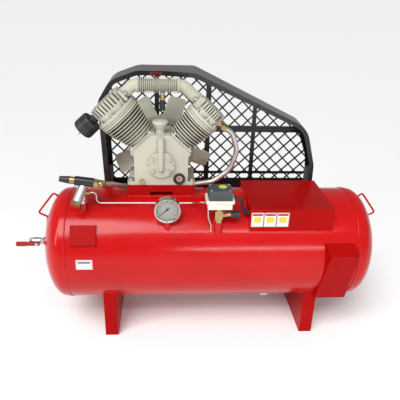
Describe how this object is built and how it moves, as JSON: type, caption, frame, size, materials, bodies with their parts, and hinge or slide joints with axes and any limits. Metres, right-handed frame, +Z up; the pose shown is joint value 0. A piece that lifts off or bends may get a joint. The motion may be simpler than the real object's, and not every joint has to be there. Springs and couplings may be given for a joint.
{
  "type": "belt-driven air compressor",
  "caption": "Two-stage V-twin piston air compressor pump on a horizontal red receiver with a meshed belt guard, motor platform, gauge, pressure switch and piping.",
  "frame": {"origin": "on the floor, midway between the four anchor holes in the feet", "axes": "+X along the receiver, away from the outlet valve; +Y from the gauge side towards the belt guard; +Z up"},
  "size_m": [1.4976, 0.553, 1.0299],
  "materials": {
    "receiver_red": "gloss red enamel",
    "bracket_red": "gloss red enamel, slightly deeper",
    "pump_paint": "satin warm grey paint over castings",
    "cast_dark": "machined grey iron",
    "steel": "plated steel",
    "aluminium": "drawn tube, soft sheen",
    "fan_paint": "light grey cast blades",
    "flywheel_paint": "satin grey paint",
    "brass": "bright brass",
    "black_plastic": "black moulding",
    "guard_black": "satin black",
    "guard_sheet": "satin black sheet with grey sheen",
    "valve_black": "satin black",
    "label_white": "blank plates",
    "gauge_chrome": "polished rim",
    "dial_white": "white dial",
    "glass": "clear",
    "needle_black": "black pointer",
    "switch_cream": "off-white moulding",
    "switch_grey": "dark grey moulding",
    "knob_yellow": "yellow-green knob",
    "cable_black": "black cable sheath",
    "lever_red": "red dipped sleeve",
    "sight_glass": "clear with a warm tint"
  },
  "bodies": {
    "frame": {"tank_shell": "receiver_red", "tank_heads": "receiver_red", "tank_bosses": "receiver_red", "foot_left": "bracket_red", "foot_right": "bracket_red", "handle_left": "receiver_red", "handle_right": "receiver_red", "nameplate_bracket": "bracket_red", "label_plates": "label_white", "pump_platform": "bracket_red", "motor_platform": "bracket_red", "drain_cover": "bracket_red", "crankcase": "pump_paint", "front_cover": "pump_paint", "rear_bearing_housing": "pump_paint", "main_bearings": "steel", "low_pressure_cylinder": "pump_paint", "high_pressure_cylinder": "pump_paint", "low_pressure_head": "pump_paint", "high_pressure_head": "pump_paint", "valve_plates": "pump_paint", "head_bolts": "steel", "pump_bolts": "steel", "intake_filter": "black_plastic", "intercooler_tube": "pump_paint", "intercooler_elbows": "pump_paint", "discharge_pipe": "aluminium", "pipe_fittings": "brass", "check_valve_body": "valve_black", "check_valve_bonnet": "aluminium", "unloader_pipe": "steel", "gauge_case": "gauge_chrome", "gauge_dial": "dial_white", "gauge_lens": "glass", "switch_base": "switch_cream", "switch_cover": "switch_grey", "switch_manifold": "brass", "motor_cable": "cable_black", "outlet_valve_body": "steel", "sight_glass_ring": "black_plastic", "sight_glass_lens": "sight_glass", "guard_band": "guard_sheet", "guard_rim": "guard_black", "guard_grille": "guard_black"},
    "crank": {"crankshaft": "cast_dark", "flywheel": "flywheel_paint", "cooling_fan": "fan_paint"},
    "low_piston": {"low_pressure_piston": "aluminium"},
    "low_rod": {"low_pressure_connecting_rod": "cast_dark"},
    "high_piston": {"high_pressure_piston": "aluminium"},
    "high_rod": {"high_pressure_connecting_rod": "cast_dark"},
    "needle": {"gauge_needle": "needle_black"},
    "switch_knob": {"switch_knob": "knob_yellow"},
    "interstage_cap": {"interstage_relief_cap": "black_plastic"},
    "tank_cap": {"tank_relief_cap": "black_plastic"},
    "check_cap": {"check_valve_relief_cap": "black_plastic"},
    "outlet_handle": {"outlet_lever": "lever_red", "outlet_valve_ball": "steel"},
    "drain_knob": {"drain_knob": "steel"},
    "breather": {"breather_cap": "pump_paint"}
  },
  "joints": [
    {"name": "crank_turn", "type": "hinge", "parent": "frame", "child": "crank", "pos_m": [-0.202, 0.1, 0.705], "axis": [0, 1, 0], "continuous": true},
    {"name": "low_piston_slide", "type": "slide", "parent": "frame", "child": "low_piston", "axis": [-0.682, 0, 0.7314], "range_m": [-0.05074, 0.00926]},
    {"name": "low_rod_swing", "type": "hinge", "parent": "low_piston", "child": "low_rod", "pos_m": [-0.33549, 0.041, 0.84816], "axis": [0, 1, 0], "range_deg": [-3.16, 16.58]},
    {"name": "high_piston_slide", "type": "slide", "parent": "frame", "child": "high_piston", "axis": [0.682, 0, 0.7314], "range_m": [-0.05074, 0.00926]},
    {"name": "high_rod_swing", "type": "hinge", "parent": "high_piston", "child": "high_rod", "pos_m": [-0.06851, 0.019, 0.84816], "axis": [0, 1, 0], "range_deg": [-16.58, 3.16]},
    {"name": "gauge_needle_turn", "type": "hinge", "parent": "frame", "child": "needle", "pos_m": [-0.178, -0.166, 0.5735], "axis": [0, 1, 0], "range_deg": [0, 270]},
    {"name": "switch_knob_press", "type": "slide", "parent": "frame", "child": "switch_knob", "axis": [0, 0, 1], "range_m": [-0.0035, 0]},
    {"name": "interstage_relief_lift", "type": "slide", "parent": "frame", "child": "interstage_cap", "axis": [0, 0, -1], "range_m": [0, 0.003], "stiffness_N_per_m": 400, "springref_m": -0.003},
    {"name": "tank_relief_lift", "type": "slide", "parent": "frame", "child": "tank_cap", "axis": [1, 0, 0], "range_m": [0, 0.003], "stiffness_N_per_m": 400, "springref_m": -0.003},
    {"name": "check_relief_lift", "type": "slide", "parent": "frame", "child": "check_cap", "axis": [-0.9918, 0, 0.1275], "range_m": [0, 0.003], "stiffness_N_per_m": 400, "springref_m": -0.003},
    {"name": "outlet_lever_turn", "type": "hinge", "parent": "frame", "child": "outlet_handle", "pos_m": [-0.716, -0.02, 0.35], "axis": [0, 1, 0], "range_deg": [0, 90]},
    {"name": "drain_knob_turn", "type": "hinge", "parent": "frame", "child": "drain_knob", "pos_m": [0.25, -0.03, 0.092], "axis": [0, 1, 0], "range_deg": [0, 90]},
    {"name": "breather_lift", "type": "slide", "parent": "frame", "child": "breather", "axis": [0, 0, 1], "range_m": [0, 0.025]}
  ]
}
